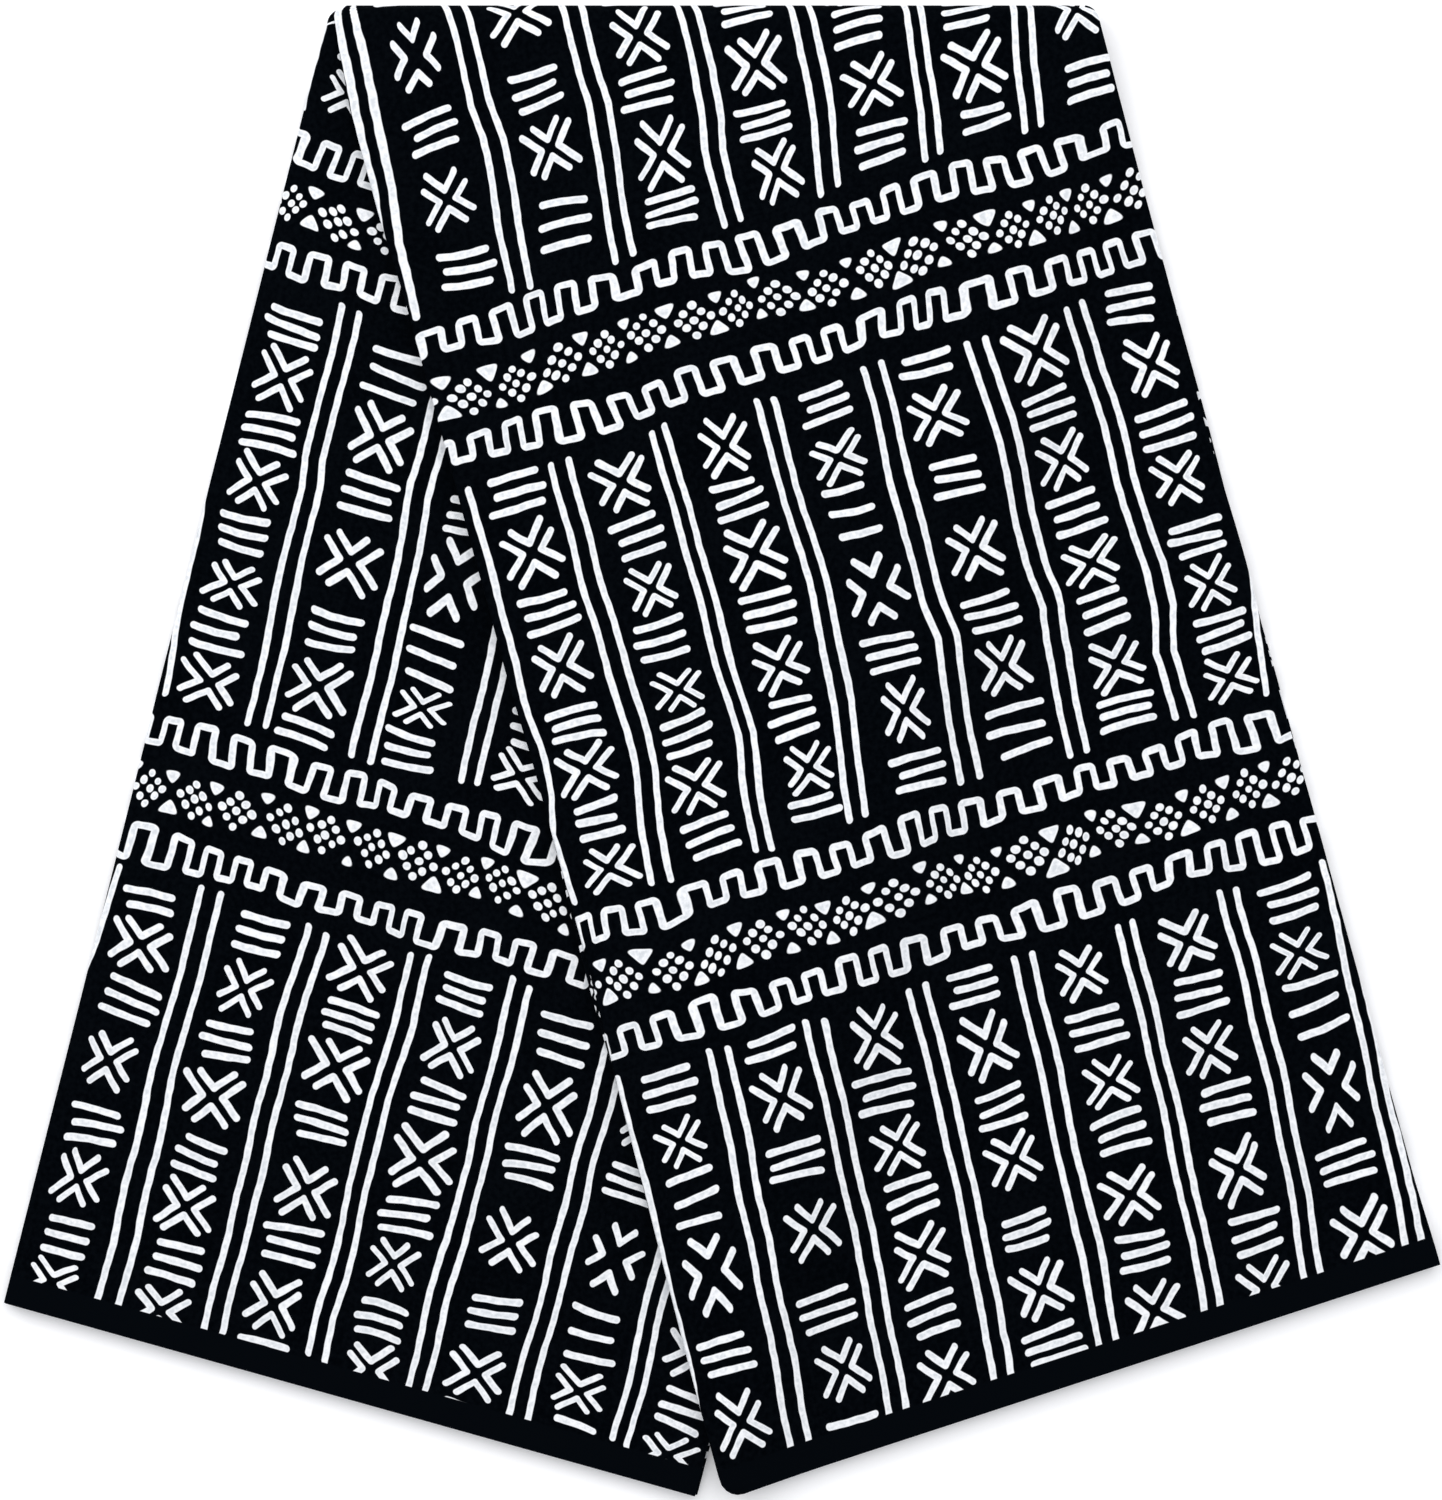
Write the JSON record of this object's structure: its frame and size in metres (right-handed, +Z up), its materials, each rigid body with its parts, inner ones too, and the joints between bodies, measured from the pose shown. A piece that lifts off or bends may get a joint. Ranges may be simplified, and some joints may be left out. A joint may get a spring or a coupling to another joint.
{
  "type": "folded length of wax print fabric",
  "caption": "Cut length of printed cotton cloth, folded into a layered strip and folded over on a slant so its two legs spread.",
  "frame": {"origin": "middle of the cloth's footprint, on the surface that it lies on", "axes": "+Z up from the surface, +Y towards the folded-over end, +X towards the free end of the front leg"},
  "size_m": [0.5877, 0.6112, 0.017],
  "materials": {
    "printed_cotton": "plain-woven cotton with a dark ground and white traditional motifs, printed on both faces, matt with a slight sheen"
  },
  "bodies": {
    "root": {"folded_cloth": "printed_cotton"}
  },
  "joints": []
}
